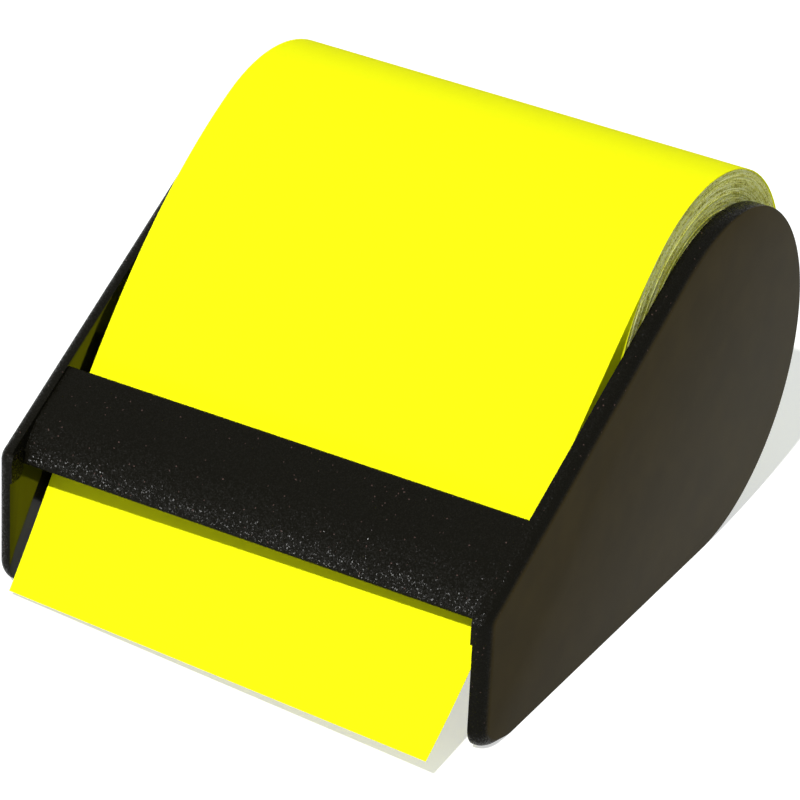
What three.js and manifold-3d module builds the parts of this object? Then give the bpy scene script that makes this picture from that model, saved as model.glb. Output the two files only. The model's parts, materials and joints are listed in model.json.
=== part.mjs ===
// Desk dispenser with a wide roll of sticky note paper.
// Millimetres, +Z up. The hub axis runs along X, the paper leaves towards -Y,
// and the origin lies on the desk under the hub.
import * as THREE from "three";
import { mergeVertices } from "three/addons/utils/BufferGeometryUtils.js";
import Module from "manifold-3d";

const wasm = await Module();
wasm.setup();

// Paper and core
const sheetWidth = 60;
const paperThickness = 0.1;
const rollRadius = 21.1;
const coreBoreRadius = 12.7;
const coreWall = 1.5;
const coreFit = 0.3;

// Moulded body
const wall = 2;
const sideClearance = 0.7;
const hubHeight = 27.7;
const backRadius = 22.3;
const rimSlope = THREE.MathUtils.degToRad(28.65);
const frontReach = 54;
const rimCornerRadius = 2.1;
const footRadius = 3.6;
const edgeRound = 1.7;
const backFadeStart = THREE.MathUtils.degToRad(60);
const footFadeStart = THREE.MathUtils.degToRad(240);

// Front bar, whose lip the paper is torn against
const barDepth = 14;
const barStep = 0.4;
const barFlat = 6.4;
const noseRadius = 9;
const noseSweep = THREE.MathUtils.degToRad(43);
const barBackRound = 0.5;
const lipRound = 0.4;
const tabProud = 0.25;
const tabDepth = 2.4;
const tabDrop = 3.6;
const tabBevel = 0.8;

// Hub pegs that the core turns on
const pegClearance = 0.5;
const pegLength = 5;
const pegWall = 1.8;
const pegLead = 1.4;
const pegNoseRound = 0.6;
const pegDraft = 0.12;

// Floor between the cheeks
const floorFront = 37;
const floorBack = 3;
const floorRibHeight = 2.2;
const floorEdgeRound = 0.8;

// Drawn sheet: how each edge leaves the roll, bends and ends
const sheetGap = 0.3;
const leftEdge = {
  leave: THREE.MathUtils.degToRad(24.4),
  pull: 25,
  settle: 18.2,
  end: new THREE.Vector2(-55.1, 0.8),
  endSlope: THREE.MathUtils.degToRad(49.6),
};
const rightEdge = {
  leave: THREE.MathUtils.degToRad(38.5),
  pull: 20.2,
  settle: 13.6,
  end: new THREE.Vector2(-62, 3.4),
  endSlope: THREE.MathUtils.degToRad(32.9),
};

// Turns of paper on the ends of the roll
const turnPitch = 0.55;
const turnRelief = 0.16;
const turnWander = 2.4;

// Mesh fineness
const arcStep = THREE.MathUtils.degToRad(7.5);
const roundSteps = 5;
const rollSegments = 64;
const pegSides = 23;
const sheetSteps = 36;
const sheetStrips = 6;
const overlap = 0.5;
const weldDistance = 1e-4;

const coreRadius = coreBoreRadius + coreWall;
const woundBore = coreRadius + coreFit;
const innerFace = sheetWidth / 2 + sideClearance;
const outerFace = innerFace + wall;
const pegRadius = coreBoreRadius - pegClearance;

const plastic = () => new THREE.MeshStandardMaterial({ color: 0x2e2b22, roughness: 0.42, metalness: 0 });
const paper = () => new THREE.MeshStandardMaterial({ color: 0xfffe18, roughness: 0.8, metalness: 0, side: THREE.DoubleSide });
const board = () => new THREE.MeshStandardMaterial({ color: 0xa58a63, roughness: 0.9, metalness: 0 });

// Points of an arc in the side view, where x of each point is the object's Y and y is its Z.
function arc(centre, radius, from, to) {
  const steps = Math.max(2, Math.ceil(Math.abs(to - from) / arcStep));
  const points = [];
  for (let i = 0; i <= steps; i += 1) {
    const angle = THREE.MathUtils.lerp(from, to, i / steps);
    points.push(new THREE.Vector2(
      centre.x + radius * Math.cos(angle),
      centre.y + radius * Math.sin(angle),
    ));
  }
  return points;
}

const rimNormal = Math.PI / 2 + rimSlope;
const rimUp = new THREE.Vector2(Math.cos(rimSlope), Math.sin(rimSlope));
const rimOut = new THREE.Vector2(Math.cos(rimNormal), Math.sin(rimNormal));
const backCentre = new THREE.Vector2(0, backRadius);
const rimHeight = backCentre.dot(rimOut) + backRadius;
const frontCorner = new THREE.Vector2(-frontReach, (rimHeight + frontReach * rimOut.x) / rimOut.y);

// A point of the front bar's section: a distance back along the rim, and one under it.
function underRim(back, depth) {
  return frontCorner.clone().addScaledVector(rimUp, back).addScaledVector(rimOut, -depth);
}

// Centre of a round that touches the rim and the front edge.
function cornerCentre(radius) {
  const y = -frontReach + radius;
  const z = (rimHeight - radius - y * rimOut.x) / rimOut.y;
  return new THREE.Vector2(y, z);
}

// Outline of a cheek. The inset follows the rim, the front edge and the foot,
// and fades out round the back, where the moulding has a crisp edge.
function cheekOutline(inset) {
  const back = arc(backCentre, 1, -Math.PI / 2, rimNormal).map((unit) => {
    const outward = unit.sub(backCentre);
    const share = THREE.MathUtils.smoothstep(outward.angle(), backFadeStart, rimNormal);
    const faded = outward.y < 0 ? 0 : share;
    return outward.multiplyScalar(backRadius - inset * faded).add(backCentre);
  });
  const corner = arc(cornerCentre(rimCornerRadius), rimCornerRadius - inset, rimNormal, Math.PI);
  const footCentre = new THREE.Vector2(-frontReach + footRadius, footRadius);
  const downwards = 3 * Math.PI / 2;
  const foot = arc(footCentre, 1, Math.PI, downwards).map((unit) => {
    const outward = unit.sub(footCentre);
    const share = 1 - THREE.MathUtils.smoothstep(outward.angle(), footFadeStart, downwards);
    return outward.multiplyScalar(footRadius - inset * share).add(footCentre);
  });
  return [...back, ...corner, ...foot];
}

// A closed solid through outlines with equal numbers of points, one at each X.
function loft(layers) {
  const count = layers[0].outline.length;
  const positions = [];
  const index = [];
  layers.forEach(({ x, outline }) => {
    outline.forEach((point) => positions.push(x, point.x, point.y));
  });
  for (let layer = 0; layer < layers.length - 1; layer += 1) {
    for (let i = 0; i < count; i += 1) {
      const a = layer * count + i;
      const b = layer * count + (i + 1) % count;
      index.push(a, b, b + count, a, b + count, a + count);
    }
  }
  const last = (layers.length - 1) * count;
  THREE.ShapeUtils.triangulateShape(layers[0].outline, []).forEach(([a, b, c]) => index.push(a, c, b));
  THREE.ShapeUtils.triangulateShape(layers[layers.length - 1].outline, []).forEach(([a, b, c]) => {
    index.push(last + a, last + b, last + c);
  });
  const geometry = new THREE.BufferGeometry();
  geometry.setAttribute("position", new THREE.Float32BufferAttribute(positions, 3));
  geometry.setIndex(index);
  return geometry;
}

// The other hand of a shape: mirrored in X, with its faces turned out again.
function mirrored(geometry) {
  const copy = geometry.clone();
  copy.scale(-1, 1, 1);
  const order = copy.getIndex().array;
  for (let i = 0; i < order.length; i += 3) {
    [order[i + 1], order[i + 2]] = [order[i + 2], order[i + 1]];
  }
  return copy;
}

function solid(geometry) {
  const bare = new THREE.BufferGeometry();
  bare.setAttribute("position", geometry.getAttribute("position").clone());
  bare.setIndex(geometry.getIndex());
  const merged = mergeVertices(bare, weldDistance);
  return new wasm.Manifold(new wasm.Mesh({
    numProp: 3,
    vertProperties: new Float32Array(merged.getAttribute("position").array),
    triVerts: new Uint32Array(merged.getIndex().array),
  }));
}

function geometryOf(body) {
  const mesh = body.getMesh();
  const geometry = new THREE.BufferGeometry();
  geometry.setAttribute("position", new THREE.BufferAttribute(new Float32Array(mesh.vertProperties), 3));
  geometry.setIndex(new THREE.BufferAttribute(new Uint32Array(mesh.triVerts), 1));
  geometry.computeVertexNormals();
  return geometry;
}

// A side wall with a soft outer edge along the rim, the front and the foot.
function cheek() {
  const layers = [{ x: innerFace, outline: cheekOutline(0) }];
  for (let i = 0; i <= roundSteps; i += 1) {
    const turn = (Math.PI / 2) * (i / roundSteps);
    layers.push({
      x: outerFace - edgeRound * (1 - Math.sin(turn)),
      outline: cheekOutline(edgeRound * (1 - Math.cos(turn))),
    });
  }
  return loft(layers);
}

// The bar between the cheeks: a flat top that falls with the rim, then a rolled nose with a thin lip.
function bar() {
  const noseCentre = underRim(barDepth - barFlat, barStep + noseRadius);
  const backCentreTop = underRim(barDepth - barBackRound, barStep + barBackRound);
  const lipAngle = rimNormal + noseSweep;
  const lipCentre = noseCentre.clone().add(
    new THREE.Vector2(Math.cos(lipAngle), Math.sin(lipAngle)).multiplyScalar(noseRadius - lipRound),
  );
  const underRadius = noseRadius - wall;
  const section = [
    underRim(barDepth, barStep + wall),
    ...arc(backCentreTop, barBackRound, rimSlope, rimNormal),
    ...arc(noseCentre, noseRadius, rimNormal, lipAngle - lipRound / noseRadius),
    ...arc(lipCentre, lipRound, lipAngle, lipAngle + Math.PI / 2),
    ...arc(noseCentre, underRadius, lipAngle, rimNormal),
  ];
  const half = innerFace + overlap;
  return loft([{ x: -half, outline: section }, { x: half, outline: section }]);
}

// A small step on the cheek's inner face under the end of the bar, bevelled at its foot.
function barTab() {
  const band = loft([
    { x: innerFace - tabProud, outline: cheekOutline(0) },
    { x: innerFace + overlap, outline: cheekOutline(0) },
  ]);
  const top = frontCorner.y;
  const low = frontCorner.y - tabDrop;
  const reach = new THREE.Vector2(-frontReach - overlap, -frontReach + tabDepth);
  const window = loft([innerFace - 2 * tabProud, innerFace + 2 * overlap].map((x) => ({
    x,
    outline: [
      new THREE.Vector2(reach.x, low),
      new THREE.Vector2(reach.y - tabBevel, low),
      new THREE.Vector2(reach.y, low + tabBevel),
      new THREE.Vector2(reach.y, top),
      new THREE.Vector2(reach.x, top),
    ],
  })));
  return geometryOf(solid(band).intersect(solid(window)));
}

// A hollow peg on the cheek's inner face, with draft on its walls and a tapered lead for the core.
function peg() {
  const root = innerFace + overlap;
  const tip = innerFace - pegLength;
  const profile = [
    new THREE.Vector2(pegRadius - pegWall, root),
    new THREE.Vector2(pegRadius - pegWall + pegDraft, tip),
    new THREE.Vector2(pegRadius - pegLead + pegDraft, tip),
    new THREE.Vector2(pegRadius - pegLead + pegNoseRound, tip + pegNoseRound / 2),
    new THREE.Vector2(pegRadius - pegDraft, tip + pegLead),
    new THREE.Vector2(pegRadius, root),
    new THREE.Vector2(pegRadius - pegWall, root),
  ];
  const geometry = new THREE.LatheGeometry(profile.reverse(), pegSides);
  geometry.rotateZ(-Math.PI / 2);
  geometry.translate(0, 0, hubHeight);
  return geometry;
}

// The floor that ties the cheeks together, with an upturned rib at each end.
function floor() {
  const round = floorEdgeRound;
  const high = wall + floorRibHeight;
  const section = [
    new THREE.Vector2(-floorFront, 0),
    new THREE.Vector2(floorBack, 0),
    ...arc(new THREE.Vector2(floorBack - round, high - round), round, 0, Math.PI / 2),
    new THREE.Vector2(floorBack - wall, high),
    new THREE.Vector2(floorBack - wall, wall),
    new THREE.Vector2(-floorFront + wall, wall),
    new THREE.Vector2(-floorFront + wall, high),
    ...arc(new THREE.Vector2(-floorFront + round, high - round), round, Math.PI / 2, Math.PI),
  ];
  const half = innerFace + overlap;
  return loft([{ x: -half, outline: section }, { x: half, outline: section }]);
}

function dispenserBody() {
  const oneSide = [cheek(), barTab(), peg()];
  const bothSides = [...oneSide, ...oneSide.map(mirrored)];
  return bothSides.reduce((body, piece) => body.add(solid(piece)), solid(bar()).add(solid(floor())));
}

// A ring about X, from a closed profile of radius and distance along the axis.
function ring(profile) {
  const geometry = new THREE.LatheGeometry(profile, rollSegments);
  geometry.rotateZ(-Math.PI / 2);
  return geometry;
}

function coreProfile() {
  const half = sheetWidth / 2;
  return [
    new THREE.Vector2(coreBoreRadius, -half),
    new THREE.Vector2(coreRadius, -half),
    new THREE.Vector2(coreRadius, half),
    new THREE.Vector2(coreBoreRadius, half),
    new THREE.Vector2(coreBoreRadius, -half),
  ];
}

// How far a turn at this radius sits back from the roll's end.
function turnOffset(radius) {
  const turn = Math.round((radius - woundBore) / turnPitch);
  return turnRelief * (0.5 + 0.5 * Math.sin(turn * turnWander));
}

// The wound paper: both ends show its turns as fine steps.
function woundProfile() {
  const half = sheetWidth / 2;
  const turns = Math.floor((rollRadius - woundBore) / turnPitch);
  const face = [];
  for (let turn = 0; turn <= turns; turn += 1) {
    const inner = woundBore + turn * turnPitch;
    const outer = turn === turns ? rollRadius : inner + turnPitch;
    const back = turn === turns ? 0 : turnOffset(inner);
    if (outer - inner > paperThickness) {
      face.push([inner, back], [outer, back]);
    }
  }
  const bottom = face.map(([radius, back]) => new THREE.Vector2(radius, -half + back));
  const top = face.map(([radius, back]) => new THREE.Vector2(radius, half - back)).reverse();
  return [...bottom, ...top, bottom[0].clone()];
}

// One edge of the drawn sheet, from where it leaves the roll to its free end.
function edgePath({ leave, pull, settle, end, endSlope }) {
  const hub = new THREE.Vector2(0, hubHeight);
  const outward = new THREE.Vector2(-Math.sin(leave), Math.cos(leave));
  const start = hub.addScaledVector(outward, rollRadius + sheetGap);
  const along = new THREE.Vector2(-Math.cos(leave), -Math.sin(leave));
  const last = new THREE.Vector2(-Math.cos(endSlope), -Math.sin(endSlope));
  return new THREE.CubicBezierCurve(
    start,
    start.clone().addScaledVector(along, pull),
    end.clone().addScaledVector(last, -settle),
    end,
  );
}

// The drawn sheet: a strip ruled between its two edge paths, with the paper's thickness.
function drawnSheet() {
  const left = edgePath(leftEdge);
  const right = edgePath(rightEdge);
  const positions = [];
  const index = [];
  const row = sheetStrips + 1;
  const side = (sheetSteps + 1) * row;
  [0, paperThickness].forEach((raise) => {
    for (let i = 0; i <= sheetSteps; i += 1) {
      const t = i / sheetSteps;
      for (let j = 0; j <= sheetStrips; j += 1) {
        const share = j / sheetStrips;
        const point = left.getPoint(t).lerp(right.getPoint(t), share);
        const run = left.getTangent(t).lerp(right.getTangent(t), share).normalize();
        positions.push(
          THREE.MathUtils.lerp(-sheetWidth / 2, sheetWidth / 2, share),
          point.x + run.y * raise,
          point.y - run.x * raise,
        );
      }
    }
  });
  const quad = (a, b, c, d) => index.push(a, b, c, a, c, d);
  for (let i = 0; i < sheetSteps; i += 1) {
    for (let j = 0; j < sheetStrips; j += 1) {
      const a = i * row + j;
      quad(a, a + 1, a + row + 1, a + row);
      quad(side + a, side + a + row, side + a + row + 1, side + a + 1);
    }
    const l = i * row;
    const r = l + sheetStrips;
    quad(l, l + row, side + l + row, side + l);
    quad(r, side + r, side + r + row, r + row);
  }
  for (let j = 0; j < sheetStrips; j += 1) {
    const tail = sheetSteps * row + j;
    quad(j, side + j, side + j + 1, j + 1);
    quad(tail, tail + 1, side + tail + 1, side + tail);
  }
  const geometry = new THREE.BufferGeometry();
  geometry.setAttribute("position", new THREE.Float32BufferAttribute(positions, 3));
  geometry.setIndex(index);
  geometry.computeVertexNormals();
  return geometry;
}

function named(name, geometry, material) {
  const mesh = new THREE.Mesh(geometry, material);
  mesh.name = name;
  return mesh;
}

const roll = new THREE.Group();
roll.position.z = hubHeight;
roll.add(named("roll_core", ring(coreProfile()), board()));
roll.add(named("note_roll", ring(woundProfile()), paper()));

const dispenser = new THREE.Group();
dispenser.add(named("dispenser_body", geometryOf(dispenserBody()), plastic()));
dispenser.add(named("drawn_sheet", drawnSheet(), paper()));
dispenser.add(roll);

export default dispenser;
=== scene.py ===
import json
import math

import bmesh
import bpy
from bpy.props import FloatProperty, FloatVectorProperty, PointerProperty
from mathutils import Matrix, Vector


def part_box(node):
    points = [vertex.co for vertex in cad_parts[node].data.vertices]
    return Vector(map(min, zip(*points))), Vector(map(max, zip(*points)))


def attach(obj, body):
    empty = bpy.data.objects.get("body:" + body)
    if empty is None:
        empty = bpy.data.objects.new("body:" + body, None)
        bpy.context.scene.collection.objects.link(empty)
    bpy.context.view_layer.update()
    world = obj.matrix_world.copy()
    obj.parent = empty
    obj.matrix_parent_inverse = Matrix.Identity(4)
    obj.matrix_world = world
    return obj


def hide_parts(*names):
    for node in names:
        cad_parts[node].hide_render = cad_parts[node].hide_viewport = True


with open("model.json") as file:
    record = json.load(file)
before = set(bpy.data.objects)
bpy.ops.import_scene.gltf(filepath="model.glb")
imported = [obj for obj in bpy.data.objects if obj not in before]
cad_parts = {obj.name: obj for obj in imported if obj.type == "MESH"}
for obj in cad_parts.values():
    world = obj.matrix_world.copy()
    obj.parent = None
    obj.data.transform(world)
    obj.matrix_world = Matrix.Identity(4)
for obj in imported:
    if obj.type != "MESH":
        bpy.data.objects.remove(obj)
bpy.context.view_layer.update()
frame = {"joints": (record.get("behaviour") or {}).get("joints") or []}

bl_info = {
    "name": "Sticky Note Roll Dispenser",
    "version": (1, 0, 0),
    "blender": (4, 5, 0),
    "location": "View3D > Sidebar > Note Roll",
    "description": "Dresses a desk dispenser and its roll of yellow note paper",
    "category": "Object",
}

MM = 0.001

# Real sizes of the finishes' patterns
MOULD_GRAIN = 0.13 * MM
DUST_AND_GLINT_SPECK = 0.14 * MM
PAPER_FIBRE = 0.6 * MM
EDGE_FIBRE = 0.2 * MM
EDGE_RING = 0.36 * MM
BOARD_FIBRE = 0.8 * MM
BOARD_STRIP = 25 * MM
BOARD_SEAM = 0.25 * MM

# Refractive indices of polystyrene and of paper fibre
PLASTIC_IOR = 1.5
PAPER_IOR = 1.5

# Corners of a shape that are nearer than this are one corner
MERGE_DISTANCE = 0.001 * MM

# Angle, up from level behind the hub, from which the cheeks' soft edge grows towards the rim
BACK_FADE_START = math.pi / 3

# Sizes that the frame already holds
BODY_LOW, BODY_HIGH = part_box("dispenser_body")
ROLL_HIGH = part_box("note_roll")[1]
CORE_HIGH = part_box("roll_core")[1]
OUTER_FACE = BODY_HIGH[0]
FRONT = BODY_LOW[1]
BACK_RADIUS = BODY_HIGH[1]
HUB = Vector(frame["joints"][0]["pos_m"])
ROLL_RADIUS = ROLL_HIGH[2] - HUB.z
HALF_SHEET = ROLL_HIGH[0]
CORE_RADIUS = CORE_HIGH[2] - HUB.z


def linear(hex_colour):
    """An sRGB hex colour as linear red, green, blue and alpha."""
    channels = []
    for start in (1, 3, 5):
        level = int(hex_colour[start:start + 2], 16) / 255
        channels.append(level / 12.92 if level <= 0.04045 else ((level + 0.055) / 1.055) ** 2.4)
    return (*channels, 1.0)


def length(label, text, default):
    """A size in metres that a user can change."""
    return FloatProperty(name=label, description=text, default=default, unit="LENGTH", precision=5)


def turn(label, text, degrees):
    """An angle that a user can change."""
    return FloatProperty(name=label, description=text, default=math.radians(degrees), unit="ROTATION")


def colour(label, text, hex_colour):
    """A colour that a user can change."""
    return FloatVectorProperty(
        name=label, description=text, default=linear(hex_colour), size=4, subtype="COLOR", min=0, max=1
    )


class NoteRollBody(bpy.types.PropertyGroup):
    """Sizes and colours of the black moulding"""

    wall: length("Wall", "Thickness of the cheeks, bar and floor", 2 * MM)
    rim_slope: turn("Rim slope", "How steeply the rim falls to the front", 28.65)
    corner_round: length("Corner round", "Round where the rim meets the front edge", 2.1 * MM)
    foot_round: length("Foot round", "Round of the front foot", 3.6 * MM)
    edge_round: length("Edge round", "Soft outer edge of the rim and front", 1.7 * MM)
    foot_fade: length("Foot fade", "How far the soft edge runs on behind the foot", 3.4 * MM)
    foot_hold: FloatProperty(
        name="Foot hold", description="Share of the foot's run before its soft edge starts to fade",
        default=0.3, min=0, max=1, subtype="FACTOR",
    )
    crisp_edge: length("Crisp edge", "Tiny radius left on the mould's sharp edges", 0.14 * MM)
    bar_depth: length("Bar depth", "Front to back size of the bar along the rim", 14 * MM)
    bar_step: length("Bar step", "How far the bar's top lies under the rim", 0.4 * MM)
    bar_flat: length("Bar flat", "Flat part of the bar's top", 6.4 * MM)
    nose_radius: length("Nose radius", "Radius of the bar's rolled nose", 9 * MM)
    nose_sweep: turn("Nose sweep", "Angle that the nose turns through", 43)
    bar_back_round: length("Bar back round", "Round of the bar's back edge", 0.5 * MM)
    lip_round: length("Lip round", "Round of the lip that the paper tears on", 0.4 * MM)
    tab_proud: length("Tab proud", "How far the end tab stands off the cheek", 0.25 * MM)
    tab_depth: length("Tab depth", "Front to back size of the end tab", 2.4 * MM)
    tab_drop: length("Tab drop", "How far the end tab reaches under the rim corner", 3.6 * MM)
    tab_bevel: length("Tab bevel", "Bevel at the end tab's foot", 0.8 * MM)
    peg_clearance: length("Peg clearance", "Running gap between peg and core", 0.5 * MM)
    peg_length: length("Peg length", "How far a peg reaches into the core", 5 * MM)
    peg_wall: length("Peg wall", "Wall of the hollow peg", 1.8 * MM)
    peg_lead: length("Peg lead", "Taper at the peg's tip", 1.4 * MM)
    floor_front: length("Floor front", "How far the floor reaches to the front", 37 * MM)
    floor_back: length("Floor back", "How far the floor reaches behind the hub", 3 * MM)
    floor_rib: length("Floor rib", "Height of the ribs at the floor's ends", 2.2 * MM)
    floor_round: length("Floor round", "Round of the ribs' top edges", 0.8 * MM)
    # The two side colours are a painted warm sheen: the cheeks' outer faces are the rims' black plastic with
    # a lighter brown base colour
    side: colour("Side", "Brown-black polystyrene of the cheeks' outer faces", "#322910")
    side_sheen_cloudy: colour("Warm side", "Cloudiness in the cheeks' outer faces", "#382E12")
    inside: colour("Inside", "Black polystyrene of the polished inner faces", "#0D0C07")
    inside_warm: colour("Warm inside", "Cloudiness in the cheeks' inner faces", "#100F09")
    grained: colour("Grained", "Black polystyrene from a spark-grained mould", "#0D0C07")
    # The pale specks are part dust and part painted glint
    dust_and_glint_fleck: colour("Fleck", "Pale filler specks in the plastic", "#4A3A36")
    cloud: length("Cloud", "Size of the cloudy patches in the plastic", 5 * MM)
    ripple: length("Ripple", "Size of the slow ripples in the plastic", 7 * MM)


class NoteRollPaper(bpy.types.PropertyGroup):
    """Sizes and colours of the paper and its core"""

    thickness: length("Thickness", "Thickness of the note paper", 0.1 * MM)
    turn_gap: length("Turn gap", "Air between two turns", 0.014 * MM)
    ragged: length("Ragged", "How unevenly the turns' edges lie", 0.22 * MM)
    core_wall: length("Core wall", "Wall of the board core", 1.5 * MM)
    core_fit: length("Core fit", "Gap between core and first turn", 0.3 * MM)
    left_reach: length("Left reach", "How far the left corner lies before the hub", 55.1 * MM)
    left_lift: length("Left lift", "Height of the left corner above the desk", 0.8 * MM)
    left_leave: turn("Left leave", "Where the left edge leaves the roll, from the top", 24.4)
    left_pull: length("Left pull", "Straight run after the roll on the left", 25 * MM)
    left_settle: length("Left settle", "Straight run before the end on the left", 18.2 * MM)
    left_slope: turn("Left slope", "Slope of the left edge at its end", 49.6)
    right_reach: length("Right reach", "How far the right corner lies before the hub", 62 * MM)
    right_lift: length("Right lift", "Height of the right corner above the desk", 3.4 * MM)
    right_leave: turn("Right leave", "Where the right edge leaves the roll, from the top", 38.5)
    right_pull: length("Right pull", "Straight run after the roll on the right", 20.2 * MM)
    right_settle: length("Right settle", "Straight run before the end on the right", 13.6 * MM)
    right_slope: turn("Right slope", "Slope of the right edge at its end", 32.9)
    wrap: turn("Wrap", "How far the sheet still hugs the roll behind the top", 150)
    face: colour("Face", "Fluorescent yellow note paper", "#FEFF10")
    face_deep: colour("Deep face", "Denser fibres in the note paper", "#FAFB10")
    # glow is a painted glow: an even yellow emission from the paper, in place of its fluorescence, that lifts
    # its shaded parts
    glow: colour("Glow", "Yellow light that the dye gives back", "#E0FF00")
    passed: colour("Passed", "Yellow light that comes through the paper", "#FFFA08")
    edge_pale: colour("Pale edge", "Cut edge of the paper, pale fibres", "#FFFFC8")
    edge_deep: colour("Deep edge", "Cut edge of the paper, dyed fibres", "#E8E678")
    # The tan colour goes where the cut edge's bump lies low
    edge_tan: colour("Tan edge", "Cut edge of the paper, glue lines", "#8E7E40")
    board: colour("Board", "Grey-brown core board", "#A58A63")
    board_deep: colour("Deep board", "Denser fibres in the core board", "#8B7453")
    seam: colour("Seam", "Shaded seam of the core board", "#594B39")


class NoteRollStage(bpy.types.PropertyGroup):
    """Camera, lamps and floor"""

    azimuth: turn("Azimuth", "Camera's turn to the right of the front", 28.849)
    elevation: turn("Elevation", "Camera's height above the desk", 30.013)
    bank: turn("Bank", "Camera's tilt about its own axis", 2.748)
    lens: FloatProperty(
        name="Lens", description="Focal length on a 36 mm sensor", default=216.78, unit="CAMERA",
    )
    distance: length("Distance", "From the camera to the aim point", 592.083 * MM)
    aim_right: length("Aim right", "Aim point's offset along the picture's width", -7.981 * MM)
    aim_up: length("Aim up", "Aim point's offset along the picture's height", 8.618 * MM)
    floor_colour: colour("Floor", "White studio floor", "#D2D2D1")
    floor_lift: FloatProperty(
        name="Floor lift", description="How much the floor is lightened for the picture", default=0.56,
    )
    key_strength: FloatProperty(
        name="Key", description="Strength of the sun-like key lamp", default=3.6,
    )
    key_angle: turn("Key angle", "Softness of the key lamp's shadows", 1.5)
    glint_strength: FloatProperty(
        name="Glint", description="Strength of the low front lamp for glints", default=3.2,
    )
    glint_angle: turn("Glint angle", "Width of the low front lamp", 9)
    fill: FloatProperty(name="Fill", description="Level of the even light all round", default=0.27)
    fill_colour: colour("Fill colour", "Slightly cool colour of the even light", "#F0FFFF")


def add(tree, kind, values=None, links=None, **settings):
    """A node with its settings, its plain input values and the sockets that feed it."""
    made = tree.nodes.new(kind)
    for name, value in settings.items():
        setattr(made, name, value)
    for name, value in (values or {}).items():
        made.inputs[name].default_value = value
    for name, socket in (links or {}).items():
        tree.links.new(socket, made.inputs[name])
    return made


def new_material(name):
    """An empty node material with its tree and its output node."""
    material = bpy.data.materials.new(name)
    material.use_nodes = True
    material.node_tree.nodes.clear()
    output = add(material.node_tree, "ShaderNodeOutputMaterial")
    return material, material.node_tree, output


def plastic_inside(look):
    """Black polystyrene from a polished mould, inside the cheeks: a dark gloss that mirrors the yellow
    paper, with a slow ripple from the moulding and a faint cloudiness where the pigment flowed."""
    material, tree, output = new_material("polystyrene_inside")
    place = add(tree, "ShaderNodeTexCoord").outputs["Object"]
    patches = add(tree, "ShaderNodeTexNoise", {"Scale": 1 / look.cloud, "Detail": 5.0}, {"Vector": place})
    cloudy = add(
        tree, "ShaderNodeMapRange", {"From Min": 0.35, "From Max": 0.7}, {"Value": patches.outputs["Fac"]},
    )
    base = add(
        tree, "ShaderNodeMix", {"A": look.inside, "B": look.inside_warm},
        {"Factor": cloudy.outputs["Result"]}, data_type="RGBA",
    )
    ripple = add(tree, "ShaderNodeTexNoise", {"Scale": 1 / look.ripple, "Detail": 2.0}, {"Vector": place})
    slow = add(
        tree, "ShaderNodeBump", {"Strength": 1.0, "Distance": 0.03 * MM}, {"Height": ripple.outputs["Fac"]},
    )
    shine = add(
        tree, "ShaderNodeMapRange", {"To Min": 0.1, "To Max": 0.2}, {"Value": cloudy.outputs["Result"]},
    )
    shader = add(
        tree, "ShaderNodeBsdfPrincipled", {"IOR": PLASTIC_IOR, "Specular IOR Level": 0.2},
        {
            "Base Color": base.outputs["Result"], "Roughness": shine.outputs["Result"],
            "Normal": slow.outputs["Normal"],
        },
    )
    tree.links.new(shader.outputs["BSDF"], output.inputs["Surface"])
    return material


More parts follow.
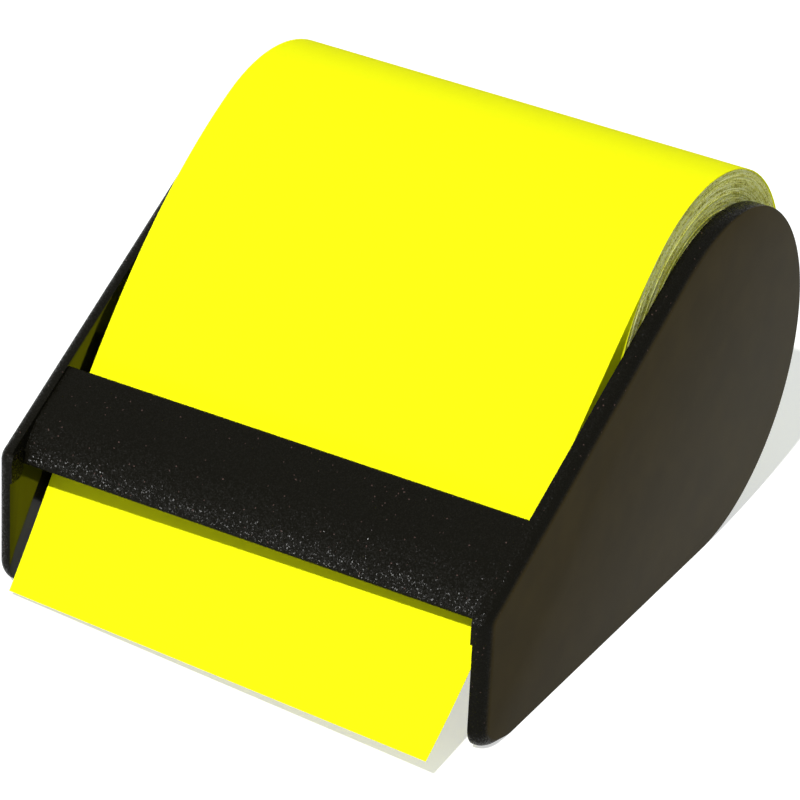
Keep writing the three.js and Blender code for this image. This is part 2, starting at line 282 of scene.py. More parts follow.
def plastic_outside(look):
    """Black polystyrene from a spark-grained mould: on the bar and the edges a dull black whose tiny facets
    glint one by one, and on the cheeks' broad faces, as the attribute "broad" says, an even, semi-matt black
    whose lighter brown base colour is a painted warm sheen. The real grain is near 0.05 mm, and MOULD_GRAIN
    is coarser so that it shows."""
    material, tree, output = new_material("polystyrene_outside")
    place = add(tree, "ShaderNodeTexCoord").outputs["Object"]
    broad = add(tree, "ShaderNodeAttribute", attribute_name="broad").outputs["Fac"]

    # Each facet of the grain leans its own way, and the broad faces stay even
    facets = add(tree, "ShaderNodeTexVoronoi", {"Scale": 1 / MOULD_GRAIN}, {"Vector": place})
    centred = add(
        tree, "ShaderNodeVectorMath", {1: (0.5, 0.5, 0.5)}, {0: facets.outputs["Color"]},
        operation="SUBTRACT",
    )
    lean = add(tree, "ShaderNodeMapRange", {"To Min": 0.4, "To Max": 0.0}, {"Value": broad})
    tilt = add(
        tree, "ShaderNodeVectorMath", None,
        {0: centred.outputs["Vector"], "Scale": lean.outputs["Result"]}, operation="SCALE",
    )
    ripple = add(tree, "ShaderNodeTexNoise", {"Scale": 1 / look.ripple, "Detail": 2.0}, {"Vector": place})
    slow = add(
        tree, "ShaderNodeBump", {"Strength": 1.0, "Distance": 0.02 * MM}, {"Height": ripple.outputs["Fac"]},
    )
    leaned = add(
        tree, "ShaderNodeVectorMath", None,
        {0: slow.outputs["Normal"], 1: tilt.outputs["Vector"]}, operation="ADD",
    )
    facing = add(
        tree, "ShaderNodeVectorMath", None, {0: leaned.outputs["Vector"]}, operation="NORMALIZE",
    )

    # Rare pale specks on the grain, part dust and part painted glint, and cloudiness in the painted warm
    # sheen of the broad faces
    specks = add(tree, "ShaderNodeTexVoronoi", {"Scale": 1 / DUST_AND_GLINT_SPECK}, {"Vector": place})
    split = add(tree, "ShaderNodeSeparateColor", None, {"Color": specks.outputs["Color"]})
    rare = add(
        tree, "ShaderNodeMath", {1: 0.997}, {0: split.outputs["Green"]}, operation="GREATER_THAN",
    )
    grained = add(
        tree, "ShaderNodeMix", {"A": look.grained, "B": look.dust_and_glint_fleck}, {"Factor": rare.outputs["Value"]},
        data_type="RGBA",
    )
    patches = add(tree, "ShaderNodeTexNoise", {"Scale": 1 / look.cloud, "Detail": 5.0}, {"Vector": place})
    cloudy = add(
        tree, "ShaderNodeMapRange", {"From Min": 0.35, "From Max": 0.7}, {"Value": patches.outputs["Fac"]},
    )
    painted_sheen = add(
        tree, "ShaderNodeMix", {"A": look.side, "B": look.side_sheen_cloudy},
        {"Factor": cloudy.outputs["Result"]}, data_type="RGBA",
    )
    # The broad faces take the painted warm sheen as their base colour, and the edges and the bar take the
    # black grain
    base = add(
        tree, "ShaderNodeMix", None,
        {"Factor": broad, "A": grained.outputs["Result"], "B": painted_sheen.outputs["Result"]}, data_type="RGBA",
    )

    # Some facets are smoother than others, and the broad faces are evenly dull
    bright = add(tree, "ShaderNodeMath", {1: 0.4}, {0: split.outputs["Red"]}, operation="GREATER_THAN")
    rough = add(
        tree, "ShaderNodeMapRange", {"To Min": 0.5, "To Max": 0.2}, {"Value": bright.outputs["Value"]},
    )
    even = add(
        tree, "ShaderNodeMix", {"B": 0.45}, {"Factor": broad, "A": rough.outputs["Result"]},
        data_type="FLOAT",
    )
    sheen = add(tree, "ShaderNodeMapRange", {"To Min": 0.044, "To Max": 0.017}, {"Value": broad})
    shader = add(
        tree, "ShaderNodeBsdfPrincipled", {"IOR": PLASTIC_IOR},
        {
            "Base Color": base.outputs["Result"], "Normal": facing.outputs["Vector"],
            "Roughness": even.outputs["Result"], "Specular IOR Level": sheen.outputs["Result"],
        },
    )
    tree.links.new(shader.outputs["BSDF"], output.inputs["Surface"])
    return material


def paper_face(look):
    """Fluorescent offset paper: a flat, even yellow with only a breath of fibre in it. It lets some light
    through, which brightens the turns behind a lifted sheet."""
    material, tree, output = new_material("note_paper_face")
    place = add(tree, "ShaderNodeTexCoord").outputs["Object"]
    fibre = add(
        tree, "ShaderNodeTexNoise", {"Scale": 1 / PAPER_FIBRE, "Detail": 5.0, "Roughness": 0.6},
        {"Vector": place},
    )
    uneven = add(
        tree, "ShaderNodeMapRange", {"From Min": 0.35, "From Max": 0.65}, {"Value": fibre.outputs["Fac"]},
    )
    base = add(
        tree, "ShaderNodeMix", {"A": look.face_deep, "B": look.face}, {"Factor": uneven.outputs["Result"]},
        data_type="RGBA",
    )
    bump = add(
        tree, "ShaderNodeBump", {"Strength": 0.12, "Distance": 0.01 * MM}, {"Height": fibre.outputs["Fac"]},
    )
    # The emission is the painted glow that lifts the paper's shade
    shader = add(
        tree, "ShaderNodeBsdfPrincipled",
        {
            "IOR": PAPER_IOR, "Specular IOR Level": 0.06, "Roughness": 0.85,
            "Emission Color": look.glow, "Emission Strength": 0.03,
        },
        {"Base Color": base.outputs["Result"], "Normal": bump.outputs["Normal"]},
    )
    through = add(tree, "ShaderNodeBsdfTranslucent", {"Color": look.passed})
    both = add(
        tree, "ShaderNodeMixShader", {"Fac": 0.2}, {1: shader.outputs["BSDF"], 2: through.outputs["BSDF"]},
    )
    tree.links.new(both.outputs["Shader"], output.inputs["Surface"])
    return material


def paper_edge(look):
    """Cut edges of the wound paper, in rings that follow the turns: darker tan where the bumped edge lies
    low, pale where it stands high, and dyed yellow between. A turn is 0.1 mm, and EDGE_RING is coarser so
    that the rings show."""
    material, tree, output = new_material("note_paper_edge")
    place = add(tree, "ShaderNodeTexCoord").outputs["Object"]
    centred = add(tree, "ShaderNodeMapping", {"Location": (0, -HUB.y, -HUB.z)}, {"Vector": place})
    flat = add(
        tree, "ShaderNodeVectorMath", {1: (0, 1, 1)}, {0: centred.outputs["Vector"]}, operation="MULTIPLY",
    )
    radius = add(tree, "ShaderNodeVectorMath", None, {0: flat.outputs["Vector"]}, operation="LENGTH")
    parts = add(tree, "ShaderNodeSeparateXYZ", None, {"Vector": flat.outputs["Vector"]})
    bearing = add(
        tree, "ShaderNodeMath", None, {0: parts.outputs["Z"], 1: parts.outputs["Y"]}, operation="ARCTAN2",
    )
    rings = add(
        tree, "ShaderNodeMath", {1: 1 / EDGE_RING}, {0: radius.outputs["Value"]}, operation="MULTIPLY",
    )
    stretch = add(tree, "ShaderNodeMath", {1: 4.0}, {0: bearing.outputs["Value"]}, operation="MULTIPLY")
    along = add(
        tree, "ShaderNodeCombineXYZ", None, {"X": rings.outputs["Value"], "Y": stretch.outputs["Value"]},
    )
    streaks = add(
        tree, "ShaderNodeTexNoise", {"Scale": 1.0, "Detail": 2.0, "Roughness": 0.6},
        {"Vector": along.outputs["Vector"]},
    )
    fluff = add(
        tree, "ShaderNodeTexNoise", {"Scale": 1 / EDGE_FIBRE, "Detail": 3.0, "Roughness": 0.7},
        {"Vector": place},
    )
    mixed = add(
        tree, "ShaderNodeMix", {"Factor": 0.6}, {"A": streaks.outputs["Fac"], "B": fluff.outputs["Fac"]},
        data_type="FLOAT",
    )
    height = mixed.outputs["Result"]
    dyed = add(tree, "ShaderNodeMapRange", {"From Min": 0.4, "From Max": 0.47}, {"Value": height})
    dull = add(
        tree, "ShaderNodeMix", {"A": look.edge_tan, "B": look.edge_deep}, {"Factor": dyed.outputs["Result"]},
        data_type="RGBA",
    )
    light = add(tree, "ShaderNodeMapRange", {"From Min": 0.48, "From Max": 0.58}, {"Value": height})
    base = add(
        tree, "ShaderNodeMix", {"B": look.edge_pale},
        {"A": dull.outputs["Result"], "Factor": light.outputs["Result"]}, data_type="RGBA",
    )
    bump = add(tree, "ShaderNodeBump", {"Strength": 1.0, "Distance": 0.09 * MM}, {"Height": height})
    shader = add(
        tree, "ShaderNodeBsdfPrincipled", {"IOR": PAPER_IOR, "Specular IOR Level": 0.1, "Roughness": 0.9},
        {"Base Color": base.outputs["Result"], "Normal": bump.outputs["Normal"]},
    )
    tree.links.new(shader.outputs["BSDF"], output.inputs["Surface"])
    return material


def core_board(look):
    """Spiral-wound grey board: matt and fibrous, with a slanting seam at each strip of board."""
    material, tree, output = new_material("core_board")
    place = add(tree, "ShaderNodeTexCoord").outputs["Object"]
    centred = add(tree, "ShaderNodeMapping", {"Location": (0, -HUB.y, -HUB.z)}, {"Vector": place})
    parts = add(tree, "ShaderNodeSeparateXYZ", None, {"Vector": centred.outputs["Vector"]})
    bearing = add(
        tree, "ShaderNodeMath", None, {0: parts.outputs["Z"], 1: parts.outputs["Y"]}, operation="ARCTAN2",
    )
    slant = add(
        tree, "ShaderNodeMath", {1: BOARD_STRIP / math.tau}, {0: bearing.outputs["Value"]},
        operation="MULTIPLY",
    )
    run = add(
        tree, "ShaderNodeMath", None, {0: parts.outputs["X"], 1: slant.outputs["Value"]}, operation="ADD",
    )
    seam = add(tree, "ShaderNodeMath", {1: BOARD_STRIP}, {0: run.outputs["Value"]}, operation="PINGPONG")
    gap = add(tree, "ShaderNodeMath", {1: BOARD_SEAM}, {0: seam.outputs["Value"]}, operation="LESS_THAN")
    fibre = add(tree, "ShaderNodeTexNoise", {"Scale": 1 / BOARD_FIBRE, "Detail": 6.0}, {"Vector": place})
    mottled = add(
        tree, "ShaderNodeMapRange", {"From Min": 0.3, "From Max": 0.7}, {"Value": fibre.outputs["Fac"]},
    )
    tone = add(
        tree, "ShaderNodeMix", {"A": look.board_deep, "B": look.board},
        {"Factor": mottled.outputs["Result"]}, data_type="RGBA",
    )
    base = add(
        tree, "ShaderNodeMix", {"B": look.seam},
        {"A": tone.outputs["Result"], "Factor": gap.outputs["Value"]}, data_type="RGBA",
    )
    bump = add(
        tree, "ShaderNodeBump", {"Strength": 0.4, "Distance": 0.05 * MM}, {"Height": fibre.outputs["Fac"]},
    )
    shader = add(
        tree, "ShaderNodeBsdfPrincipled", {"IOR": PAPER_IOR, "Specular IOR Level": 0.15, "Roughness": 0.9},
        {"Base Color": base.outputs["Result"], "Normal": bump.outputs["Normal"]},
    )
    tree.links.new(shader.outputs["BSDF"], output.inputs["Surface"])
    return material


def seen_plainly(tree):
    """The socket that is 1 for what the camera sees straight, in a reflection or through the paper."""
    rays = add(tree, "ShaderNodeLightPath").outputs
    direct = add(
        tree, "ShaderNodeMath", None, {0: rays["Is Camera Ray"], 1: rays["Is Glossy Ray"]}, operation="ADD",
    )
    shown = add(
        tree, "ShaderNodeMath", None, {0: direct.outputs["Value"], 1: rays["Is Transmission Ray"]},
        operation="ADD", use_clamp=True,
    )
    return shown.outputs["Value"]


def studio_floor(look):
    """Seamless white paper: it renders near white in the light and keeps the object's shadow."""
    material, tree, output = new_material("studio_floor")
    shader = add(
        tree, "ShaderNodeBsdfPrincipled",
        {"Base Color": look.floor_colour, "Roughness": 0.9, "Specular IOR Level": 0.1, "IOR": PAPER_IOR},
    )
    lift = add(tree, "ShaderNodeMath", {1: look.floor_lift}, {0: seen_plainly(tree)}, operation="MULTIPLY")
    glow = add(tree, "ShaderNodeEmission", None, {"Strength": lift.outputs["Value"]})
    both = add(tree, "ShaderNodeAddShader", None, {0: shader.outputs["BSDF"], 1: glow.outputs["Emission"]})
    tree.links.new(both.outputs["Shader"], output.inputs["Surface"])
    return material


def arc(centre, radius, start, end, step=math.radians(2.5)):
    """Points of an arc in the side view, as (Y, Z) pairs."""
    count = max(3, math.ceil(abs(end - start) / step))
    angles = [start + (end - start) * i / count for i in range(count + 1)]
    return [centre + radius * Vector((math.cos(angle), math.sin(angle))) for angle in angles]


def smooth(value, low, high):
    """A share from 0 to 1 that starts and ends gently between two values."""
    share = min(1, max(0, (value - low) / (high - low)))
    return share * share * (3 - 2 * share)


class SideView:
    """The body's shape in the side view, worked out from its sizes."""

    def __init__(self, sizes):
        self.sizes = sizes
        self.rim_normal = math.pi / 2 + sizes.rim_slope
        self.rim_up = Vector((math.cos(sizes.rim_slope), math.sin(sizes.rim_slope)))
        self.rim_out = Vector((math.cos(self.rim_normal), math.sin(self.rim_normal)))
        self.back_centre = Vector((0, BACK_RADIUS))
        self.rim_height = self.back_centre.dot(self.rim_out) + BACK_RADIUS
        top = (self.rim_height - FRONT * self.rim_out.x) / self.rim_out.y
        self.front_corner = Vector((FRONT, top))

    def under_rim(self, back, depth):
        """The point at a distance back along the rim and a depth under it."""
        return self.front_corner + self.rim_up * back - self.rim_out * depth

    def near_bar(self, point):
        """Whether a point between the cheeks belongs to the bar and not to the floor or the pegs."""
        behind_bar = FRONT + self.sizes.bar_depth * 1.1
        above_floor = self.front_corner.y / 2
        return point.y < behind_bar and point.z > above_floor

    def cheek(self, inset):
        """A cheek's outline, drawn in by an inset that fades out round the back and behind the foot."""
        sizes = self.sizes
        points = []
        for unit in arc(Vector((0, 0)), 1, -math.pi / 2, self.rim_normal, math.radians(2)):
            angle = math.atan2(unit.y, unit.x)
            share = smooth(angle, BACK_FADE_START, self.rim_normal)
            points.append(self.back_centre + unit * (BACK_RADIUS - inset * share))
        across = FRONT + sizes.corner_round
        up = (self.rim_height - sizes.corner_round - across * self.rim_out.x) / self.rim_out.y
        corner = Vector((across, up))
        points += arc(corner, sizes.corner_round - inset, self.rim_normal, math.pi, math.radians(6))
        foot = Vector((FRONT + sizes.foot_round, sizes.foot_round))
        run = sizes.foot_round * math.pi / 2 + sizes.foot_fade
        for unit in arc(Vector((0, 0)), 1, math.pi, 1.5 * math.pi, math.radians(4)):
            travelled = sizes.foot_round * (math.atan2(unit.y, unit.x) % math.tau - math.pi)
            share = 1 - smooth(travelled / run, sizes.foot_hold, 1)
            points.append(foot + unit * (sizes.foot_round - inset * share))
        fade_steps = 12
        for i in range(1, fade_steps + 1):
            travelled = run - sizes.foot_fade * (1 - i / fade_steps)
            share = 1 - smooth(travelled / run, sizes.foot_hold, 1)
            points.append(Vector((foot.x + sizes.foot_fade * i / fade_steps, inset * share)))
        return points

    def bar(self):
        """Section of the bar: flat top, rolled nose, thin lip, and the same wall underneath."""
        sizes = self.sizes
        nose = self.under_rim(sizes.bar_depth - sizes.bar_flat, sizes.bar_step + sizes.nose_radius)
        back = self.under_rim(sizes.bar_depth - sizes.bar_back_round, sizes.bar_step + sizes.bar_back_round)
        lip_angle = self.rim_normal + sizes.nose_sweep
        toward = Vector((math.cos(lip_angle), math.sin(lip_angle)))
        lip = nose + toward * (sizes.nose_radius - sizes.lip_round)
        under = sizes.nose_radius - sizes.wall
        return [
            self.under_rim(sizes.bar_depth, sizes.bar_step + sizes.wall),
            *arc(back, sizes.bar_back_round, sizes.rim_slope, self.rim_normal, math.radians(10)),
            *arc(nose, sizes.nose_radius, self.rim_normal, lip_angle - sizes.lip_round / sizes.nose_radius),
            *arc(lip, sizes.lip_round, lip_angle, lip_angle + math.pi / 2, math.radians(10)),
            *arc(nose, under, lip_angle, self.rim_normal),
        ]

    def floor(self):
        """Section of the floor, with an upturned rib at each end."""
        sizes = self.sizes
        high = sizes.wall + sizes.floor_rib
        round_ = sizes.floor_round
        back = Vector((sizes.floor_back - round_, high - round_))
        front = Vector((-sizes.floor_front + round_, high - round_))
        return [
            Vector((-sizes.floor_front, 0)),
            Vector((sizes.floor_back, 0)),
            *arc(back, round_, 0, math.pi / 2, math.radians(10)),
            Vector((sizes.floor_back - sizes.wall, high)),
            Vector((sizes.floor_back - sizes.wall, sizes.wall)),
            Vector((-sizes.floor_front + sizes.wall, sizes.wall)),
            Vector((-sizes.floor_front + sizes.wall, high)),
            *arc(front, round_, math.pi / 2, math.pi, math.radians(10)),
        ]


def loft(name, layers):
    """A closed shell through outlines with equal numbers of points, one at each X."""
    shell = bmesh.new()
    rows = [[shell.verts.new((x, p.x, p.y)) for p in outline] for x, outline in layers]
    for lower, upper in zip(rows, rows[1:]):
        for i, vertex in enumerate(lower):
            j = (i + 1) % len(lower)
            shell.faces.new((vertex, lower[j], upper[j], upper[i]))
    shell.faces.new(list(reversed(rows[0])))
    shell.faces.new(rows[-1])
    bmesh.ops.remove_doubles(shell, verts=shell.verts, dist=MERGE_DISTANCE)
    bmesh.ops.recalc_face_normals(shell, faces=shell.faces)
    return scene_object(name, shell)


def revolve(name, profile, steps=160):
    """A closed shell from a closed profile of (distance along X, radius) pairs, turned about the hub."""
    shell = bmesh.new()
    rows = []
    for i in range(steps):
        angle = math.tau * i / steps
        rows.append([
            shell.verts.new((x, HUB.y + r * math.cos(angle), HUB.z + r * math.sin(angle))) for x, r in profile
        ])
    for i, row in enumerate(rows):
        after = rows[(i + 1) % steps]
        for j in range(len(profile)):
            k = (j + 1) % len(profile)
            shell.faces.new((row[j], row[k], after[k], after[j]))
    bmesh.ops.recalc_face_normals(shell, faces=shell.faces)
    return scene_object(name, shell)


def scene_object(name, shell):
    """An object in the scene with the shell as its mesh."""
    mesh = bpy.data.meshes.new(name)
    shell.to_mesh(mesh)
    shell.free()
    made = bpy.data.objects.new(name, mesh)
    bpy.context.scene.collection.objects.link(made)
    return made


def settle(obj):
    """Turns an object's modifiers into a plain mesh."""
    graph = bpy.context.evaluated_depsgraph_get()
    mesh = bpy.data.meshes.new_from_object(obj.evaluated_get(graph))
    obj.modifiers.clear()
    obj.data = mesh
    return obj


def soften(obj, width, segments=2, sharp_degrees=40):
    """Breaks the sharp edges, as a mould leaves them."""
    bevel = obj.modifiers.new("crisp edges", "BEVEL")
    bevel.width = width
    bevel.segments = segments
    bevel.limit_method = "ANGLE"
    bevel.angle_limit = math.radians(sharp_degrees)
    return settle(obj)


def mirror_copy(obj):
    """The same piece for the other side, with its faces still pointing out."""
    shell = bmesh.new()
    shell.from_mesh(obj.data)
    bmesh.ops.scale(shell, vec=(-1, 1, 1), verts=shell.verts)
    bmesh.ops.reverse_faces(shell, faces=shell.faces)
    return scene_object(obj.name + "_mirror", shell)


def combine(base, others, operation):
    """Joins or cuts whole solids, and clears the ones that were used."""
    for other in others:
        cut = base.modifiers.new(operation.lower(), "BOOLEAN")
        cut.operation = operation
        cut.solver = "EXACT"
        cut.object = other
        settle(base)
        bpy.data.objects.remove(other)
    return base


def shade(obj, sharp_degrees):
    """Smooth faces, with edges above an angle kept sharp."""
    shell = bmesh.new()
    shell.from_mesh(obj.data)
    for face in shell.faces:
        face.smooth = True
    for edge in shell.edges:
        edge.smooth = len(edge.link_faces) == 2 and edge.calc_face_angle(0) < math.radians(sharp_degrees)
    shell.to_mesh(obj.data)
    shell.free()


class MouldBody(bpy.types.Operator):
    """Model the black dispenser: two cheeks, the front bar, the floor and the hub pegs"""

    bl_idname = "note_roll.mould_body"
    bl_label = "Mould the body"

    def execute(self, context):
        sizes = context.scene.note_roll_body
        view = SideView(sizes)
        inner = OUTER_FACE - sizes.wall
        overlap = 0.5 * MM

        # The right cheek, with its soft outer edge
        layers = [(inner, view.cheek(0))]
        edge_steps = 9
        for i in range(edge_steps + 1):
            angle = math.pi / 2 * i / edge_steps
            x = OUTER_FACE - sizes.edge_round * (1 - math.sin(angle))
            layers.append((x, view.cheek(sizes.edge_round * (1 - math.cos(angle)))))
        cheek = soften(loft("cheek", layers), sizes.crisp_edge)

        # The tab at the bar's end, which is the cheek's own outline cut by a window
        outline = view.cheek(0)
        tab_band = loft("tab_band", [(inner - sizes.tab_proud, outline), (inner + overlap, outline)])
        low = view.front_corner.y - sizes.tab_drop
        back = FRONT + sizes.tab_depth
        window = [
            Vector((FRONT - overlap, low)),
            Vector((back - sizes.tab_bevel, low)),
            Vector((back, low + sizes.tab_bevel)),
            Vector((back, view.front_corner.y)),
            Vector((FRONT - overlap, view.front_corner.y)),
        ]
        tab_window = loft("tab_window", [(inner - overlap, window), (inner + 2 * overlap, window)])
        tab = combine(tab_band, [tab_window], "INTERSECT")

        # The hollow hub peg
        radius = CORE_RADIUS - context.scene.note_roll_paper.core_wall - sizes.peg_clearance
        tip = inner - sizes.peg_length
        peg = revolve("peg", [
            (inner + overlap, radius - sizes.peg_wall),
            (tip, radius - sizes.peg_wall),
            (tip, radius - sizes.peg_lead),
            (tip + sizes.peg_lead / 4, radius - sizes.peg_lead / 2),
            (tip + sizes.peg_lead, radius),
            (inner + overlap, radius),
        ], steps=96)

        # The bar and the floor, and everything joined into one moulding
        half = inner + overlap
        bar = soften(loft("bar", [(-half, view.bar()), (half, view.bar())]), sizes.crisp_edge)
        floor = loft("floor", [(-half, view.floor()), (half, view.floor())])
        pair = [mirror_copy(piece) for piece in (cheek, tab, peg)]
        body = combine(cheek, [tab, peg, *pair, bar, floor], "UNION")
        body.name = "moulded_body"
        if not body.data.polygons:
            raise RuntimeError("the moulding was not joined")
        shade(body, sharp_degrees=32)

        # The grained finish shows outside and on the bar, and the polished one between the cheeks
        body.data.materials.clear()
        for finish in (plastic_outside(sizes), plastic_inside(sizes)):
            body.data.materials.append(finish)
        broad = body.data.attributes.new("broad", "FLOAT", "POINT")
        calm_from = 0.9
        for vertex in body.data.vertices:
            reach = abs(vertex.co.x) - (OUTER_FACE - sizes.edge_round)
            broad.data[vertex.index].value = smooth(reach / sizes.edge_round, calm_from, 1)
        facing_in = -0.9
        for face in body.data.polygons:
            outward = face.normal.x * (1 if face.center.x > 0 else -1)
            on_cheek = abs(face.center.x) > inner - 0.05 * MM
            is_shown = outward > facing_in if on_cheek else view.near_bar(face.center)
            face.material_index = 0 if is_shown else 1
        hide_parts("dispenser_body")
        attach(body, "dispenser")
        return {"FINISHED"}


def winding_tree(face, edge):
    """Geometry nodes that wind a strip of paper into a roll about X, with ragged turns at both ends."""
    tree = bpy.data.node_groups.new("wound strip", "GeometryNodeTree")
    tree.is_modifier = True

    # Named inputs for the sizes
    for label in ("First radius", "Last radius", "Pitch", "Thickness", "Width", "Ragged"):
        tree.interface.new_socket(label, in_out="INPUT", socket_type="NodeSocketFloat")
    tree.interface.new_socket("Steps per turn", in_out="INPUT", socket_type="NodeSocketInt")
    tree.interface.new_socket("Hub", in_out="INPUT", socket_type="NodeSocketVector")
    tree.interface.new_socket("Geometry", in_out="OUTPUT", socket_type="NodeSocketGeometry")
    given = add(tree, "NodeGroupInput").outputs

    # A spiral with one turn for each thickness of paper, and the strip's section swept along it
    span = add(
        tree, "ShaderNodeMath", None, {0: given["Last radius"], 1: given["First radius"]},
        operation="SUBTRACT",
    )
    turns = add(
        tree, "ShaderNodeMath", None, {0: span.outputs["Value"], 1: given["Pitch"]}, operation="DIVIDE",
    )
    spiral = add(tree, "GeometryNodeCurveSpiral", {"Height": 0.0}, {
        "Resolution": given["Steps per turn"], "Rotations": turns.outputs["Value"],
        "Start Radius": given["First radius"], "End Radius": given["Last radius"],
    })
    upright = add(
        tree, "GeometryNodeSetCurveNormal", None, {"Curve": spiral.outputs["Curve"]}, mode="Z_UP",
    )
    strip = add(
        tree, "GeometryNodeCurvePrimitiveQuadrilateral", None,
        {"Width": given["Thickness"], "Height": given["Width"]}, mode="RECTANGLE",
    )
    wound = add(
        tree, "GeometryNodeCurveToMesh", {"Fill Caps": True},
        {"Curve": upright.outputs["Curve"], "Profile Curve": strip.outputs["Curve"]},
    )
    across = add(
        tree, "GeometryNodeTransform", {"Rotation": (0, math.pi / 2, 0)}, {"Geometry": wound.outputs["Mesh"]},
    )

    # Each turn's edges step in by their own amount
    place = add(tree, "GeometryNodeInputPosition")
    parts = add(tree, "ShaderNodeSeparateXYZ", None, {"Vector": place.outputs["Position"]})
    flat = add(tree, "ShaderNodeCombineXYZ", None, {"Y": parts.outputs["Y"], "Z": parts.outputs["Z"]})
    radius = add(tree, "ShaderNodeVectorMath", None, {0: flat.outputs["Vector"]}, operation="LENGTH")
    ring = add(
        tree, "ShaderNodeMath", None, {0: radius.outputs["Value"], 1: given["Pitch"]}, operation="DIVIDE",
    )
    coarse = add(
        tree, "ShaderNodeTexNoise", {"Scale": 0.45, "Detail": 2.0, "Roughness": 0.8},
        {"W": ring.outputs["Value"]}, noise_dimensions="1D",
    )
    side = add(tree, "ShaderNodeMath", None, {0: parts.outputs["X"]}, operation="SIGN")
    depth = add(
        tree, "ShaderNodeMath", None, {0: coarse.outputs["Fac"], 1: given["Ragged"]}, operation="MULTIPLY",
    )
    inward = add(tree, "ShaderNodeMath", {1: -1.0}, {0: side.outputs["Value"]}, operation="MULTIPLY")
    shift = add(
        tree, "ShaderNodeMath", None, {0: depth.outputs["Value"], 1: inward.outputs["Value"]},
        operation="MULTIPLY",
    )
    offset = add(tree, "ShaderNodeCombineXYZ", None, {"X": shift.outputs["Value"]})
    ragged = add(
        tree, "GeometryNodeSetPosition", None,
        {"Geometry": across.outputs["Geometry"], "Offset": offset.outputs["Vector"]},
    )
    placed = add(
        tree, "GeometryNodeTransform", None,
        {"Geometry": ragged.outputs["Geometry"], "Translation": given["Hub"]},
    )

    # The paper's face all round, and its cut edge at both ends
    real = add(tree, "GeometryNodeRealizeInstances", None, {"Geometry": placed.outputs["Geometry"]})
    faced = add(tree, "GeometryNodeSetMaterial", {"Material": face}, {"Geometry": real.outputs["Geometry"]})
    normal = add(tree, "GeometryNodeInputNormal")
    split = add(tree, "ShaderNodeSeparateXYZ", None, {"Vector": normal.outputs["Normal"]})
    size = add(tree, "ShaderNodeMath", None, {0: split.outputs["X"]}, operation="ABSOLUTE")
    is_end = add(tree, "ShaderNodeMath", {1: 0.5}, {0: size.outputs["Value"]}, operation="GREATER_THAN")
    ended = add(
        tree, "GeometryNodeSetMaterial", {"Material": edge},
        {"Geometry": faced.outputs["Geometry"], "Selection": is_end.outputs["Value"]},
    )
    add(tree, "NodeGroupOutput", None, {"Geometry": ended.outputs["Geometry"]})
    return tree


def set_input(modifier, label, value):
    """Sets a modifier's input by its socket's identifier."""
    for item in modifier.node_group.interface.items_tree:
        if item.item_type == "SOCKET" and item.in_out == "INPUT" and item.name == label:
            modifier[item.identifier] = value
            return
    raise RuntimeError(f"the tree has no input {label}")


class WindRoll(bpy.types.Operator):
    """Wind the note paper into its roll, turn by turn"""

    bl_idname = "note_roll.wind_roll"
    bl_label = "Wind the roll"

    def execute(self, context):
        paper = context.scene.note_roll_paper
        face = paper_face(paper)
        edge = paper_edge(paper)
        roll = scene_object("wound_turns", bmesh.new())
        winding = roll.modifiers.new("winding", "NODES")
        winding.node_group = winding_tree(face, edge)
        half = paper.thickness / 2
        under_sheet = 0.02 * MM
        set_input(winding, "First radius", CORE_RADIUS + paper.core_fit + half)
        set_input(winding, "Last radius", ROLL_RADIUS - paper.thickness - half - under_sheet)
        set_input(winding, "Pitch", paper.thickness)
        set_input(winding, "Thickness", paper.thickness - paper.turn_gap)
        set_input(winding, "Width", 2 * HALF_SHEET)
        set_input(winding, "Ragged", paper.ragged)
        set_input(winding, "Steps per turn", 110)
        set_input(winding, "Hub", tuple(HUB))
        settle(roll)
        if not roll.data.polygons:
            raise RuntimeError("the roll was not wound")
        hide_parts("note_roll")
        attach(roll, "roll")
        return {"FINISHED"}


class RollCore(bpy.types.Operator):
    """Model the board core that the paper is wound on"""

    bl_idname = "note_roll.roll_core"
    bl_label = "Make the core"

    def execute(self, context):
        paper = context.scene.note_roll_paper
        bore = CORE_RADIUS - paper.core_wall
        ease = 0.15 * MM
        half = CORE_HIGH[0]
        core = revolve("board_core", [
            (-half, bore + ease), (-half, CORE_RADIUS - ease), (-half + ease, CORE_RADIUS),
            (half - ease, CORE_RADIUS), (half, CORE_RADIUS - ease), (half, bore + ease),
            (half - ease, bore), (-half + ease, bore),
        ])
        shade(core, sharp_degrees=30)
        core.data.materials.append(core_board(paper))
        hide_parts("roll_core")
        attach(core, "roll")
        return {"FINISHED"}


def sheet_path(paper, share, steps):
    """The sheet's path in the side view at a share of its width: round the roll, then off to its free end."""
    def between(name):
        left = getattr(paper, "left_" + name)
        return left + (getattr(paper, "right_" + name) - left) * share

    leave = between("leave")
    slope = between("slope")
    end = Vector((-between("reach"), between("lift")))
    hub = Vector((HUB.y, HUB.z))
    radius = ROLL_RADIUS - paper.thickness
    points = []
    wrap_steps = steps // 2
    for i in range(wrap_steps):
        angle = leave - (leave + paper.wrap) * (1 - i / wrap_steps)
        points.append(hub + radius * Vector((-math.sin(angle), math.cos(angle))))
    start = hub + radius * Vector((-math.sin(leave), math.cos(leave)))
    first = start - between("pull") * Vector((math.cos(leave), math.sin(leave)))
    second = end + between("settle") * Vector((math.cos(slope), math.sin(slope)))
    for i in range(steps + 1):
        t = i / steps
        points.append(
            (1 - t) ** 3 * start + 3 * (1 - t) ** 2 * t * first + 3 * (1 - t) * t * t * second + t ** 3 * end
        )
    return points


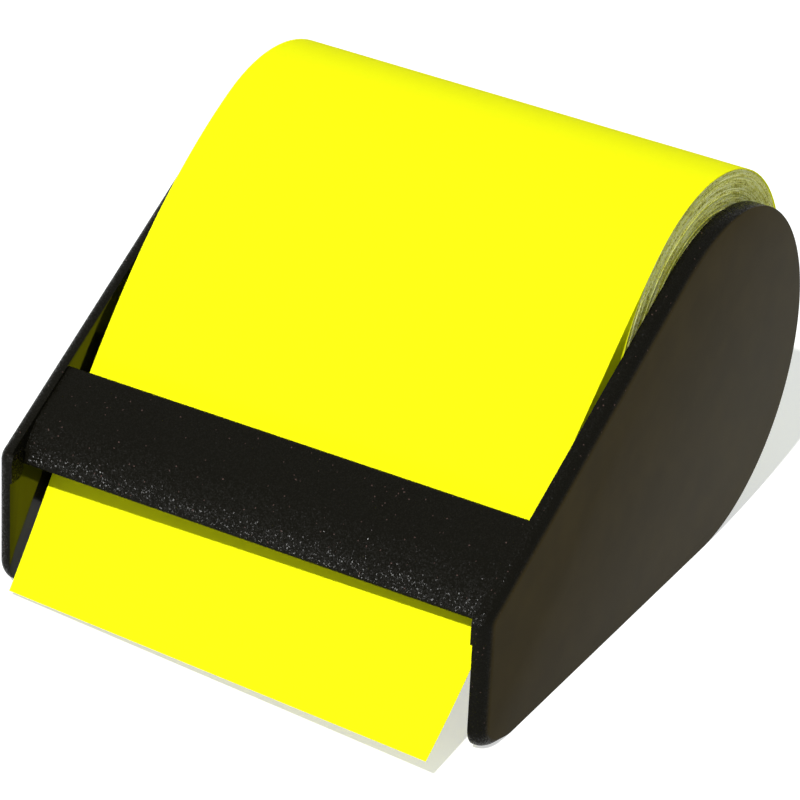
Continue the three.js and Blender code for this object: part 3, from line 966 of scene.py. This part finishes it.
class DrawSheet(bpy.types.Operator):
    """Model the drawn sheet, from the roll, under the bar, to its free end"""

    bl_idname = "note_roll.draw_sheet"
    bl_label = "Draw the sheet"

    def execute(self, context):
        paper = context.scene.note_roll_paper
        columns = 30
        steps = 90
        shell = bmesh.new()

        # Columns of point pairs along the sheet, one on each face of the paper
        grid = []
        for j in range(columns + 1):
            share = j / columns
            x = HALF_SHEET * (2 * share - 1)
            path = sheet_path(paper, share, steps)
            column = []
            for i, point in enumerate(path):
                before = path[max(0, i - 1)]
                after = path[min(len(path) - 1, i + 1)]
                run = (after - before).normalized()
                out = Vector((run.y, -run.x))
                low = shell.verts.new((x, point.x, point.y))
                high = shell.verts.new((
                    x, point.x + out.x * paper.thickness, point.y + out.y * paper.thickness,
                ))
                column.append((low, high))
            grid.append(column)

        # Both faces and all four edges of the sheet
        for left, right in zip(grid, grid[1:]):
            for i in range(len(left) - 1):
                for side in (0, 1):
                    shell.faces.new((left[i][side], left[i + 1][side], right[i + 1][side], right[i][side]))
            for i in (0, len(left) - 1):
                shell.faces.new((left[i][0], right[i][0], right[i][1], left[i][1]))
        for column in (grid[0], grid[-1]):
            for lower, upper in zip(column, column[1:]):
                shell.faces.new((lower[0], upper[0], upper[1], lower[1]))
        bmesh.ops.recalc_face_normals(shell, faces=shell.faces)
        sheet = scene_object("loose_sheet", shell)
        shade(sheet, sharp_degrees=40)
        sheet.data.materials.append(bpy.data.materials["note_paper_face"])
        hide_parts("drawn_sheet")
        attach(sheet, "dispenser")
        return {"FINISHED"}


class SetStage(bpy.types.Operator):
    """Set the white floor, the lamps and the camera"""

    bl_idname = "note_roll.set_stage"
    bl_label = "Set the stage"

    def execute(self, context):
        look = context.scene.note_roll_stage
        plane = bmesh.new()
        floor_reach = 6
        bmesh.ops.create_grid(plane, x_segments=1, y_segments=1, size=floor_reach)
        floor = scene_object("studio_floor", plane)
        floor.data.materials.append(studio_floor(look))

        scene = context.scene
        scene.view_settings.view_transform = "Standard"

        # Even light all round, and plain white where the camera or a reflection sees past the floor
        world = bpy.data.worlds.new("even light")
        scene.world = world
        world.use_nodes = True
        tree = world.node_tree
        tree.nodes.clear()
        shown = seen_plainly(tree)
        level = add(tree, "ShaderNodeMapRange", {"To Min": look.fill, "To Max": 1.0}, {"Value": shown})
        tone = add(
            tree, "ShaderNodeMix", {"A": look.fill_colour, "B": (1, 1, 1, 1)}, {"Factor": shown},
            data_type="RGBA",
        )
        sky = add(
            tree, "ShaderNodeBackground", None,
            {"Color": tone.outputs["Result"], "Strength": level.outputs["Result"]},
        )
        add(tree, "ShaderNodeOutputWorld", None, {"Surface": sky.outputs["Background"]})

        # The glint lamp is a low card that only the shiny facets pick up
        for name, toward, strength, width in (
            ("key", Vector((0.1, -0.641, 0.761)), look.key_strength, look.key_angle),
            ("glint", Vector((-0.2, -0.97, 0.1)), look.glint_strength, look.glint_angle),
        ):
            data = bpy.data.lights.new(name, "SUN")
            data.energy = strength
            data.angle = width
            lamp = bpy.data.objects.new(name, data)
            lamp.rotation_euler = toward.to_track_quat("Z", "Y").to_euler()
            lamp.visible_diffuse = name == "key"
            lamp.visible_transmission = name == "key"
            scene.collection.objects.link(lamp)

        # The camera's own axes: back towards it, its right and its up, turned by its bank
        back = Vector((
            math.sin(look.azimuth) * math.cos(look.elevation),
            -math.cos(look.azimuth) * math.cos(look.elevation),
            math.sin(look.elevation),
        ))
        level_right = Vector((math.cos(look.azimuth), math.sin(look.azimuth), 0))
        level_up = back.cross(level_right)
        right = level_right * math.cos(look.bank) + level_up * math.sin(look.bank)
        up = level_up * math.cos(look.bank) - level_right * math.sin(look.bank)
        camera_data = bpy.data.cameras.new("photo_view")
        camera_data.sensor_width = 36
        camera_data.lens = look.lens
        camera_data.clip_start = 0.01
        camera_data.clip_end = 50
        camera = bpy.data.objects.new("photo_view", camera_data)
        place = right * look.aim_right + up * look.aim_up + back * look.distance
        camera.matrix_world = Matrix((
            (right.x, up.x, back.x, place.x),
            (right.y, up.y, back.y, place.y),
            (right.z, up.z, back.z, place.z),
            (0, 0, 0, 1),
        ))
        scene.collection.objects.link(camera)
        scene.camera = camera
        return {"FINISHED"}


class NoteRollPanel(bpy.types.Panel):
    """Steps that dress the dispenser, in order"""

    bl_idname = "VIEW3D_PT_note_roll"
    bl_label = "Note Roll"
    bl_space_type = "VIEW_3D"
    bl_region_type = "UI"
    bl_category = "Note Roll"

    def draw(self, context):
        for step in STEPS:
            self.layout.operator(step.bl_idname)


GROUPS = (NoteRollBody, NoteRollPaper, NoteRollStage)
STEPS = (SetStage, MouldBody, WindRoll, RollCore, DrawSheet)


def register():
    for group in (*GROUPS, *STEPS, NoteRollPanel):
        bpy.utils.register_class(group)
    bpy.types.Scene.note_roll_body = PointerProperty(type=NoteRollBody)
    bpy.types.Scene.note_roll_paper = PointerProperty(type=NoteRollPaper)
    bpy.types.Scene.note_roll_stage = PointerProperty(type=NoteRollStage)


def unregister():
    del bpy.types.Scene.note_roll_stage
    del bpy.types.Scene.note_roll_paper
    del bpy.types.Scene.note_roll_body
    for group in reversed((*GROUPS, *STEPS, NoteRollPanel)):
        bpy.utils.unregister_class(group)


def main():
    register()
    bpy.ops.note_roll.set_stage()
    bpy.ops.note_roll.mould_body()
    bpy.ops.note_roll.wind_roll()
    bpy.ops.note_roll.roll_core()
    bpy.ops.note_roll.draw_sheet()
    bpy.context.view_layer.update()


if __name__ == "__main__":
    main()
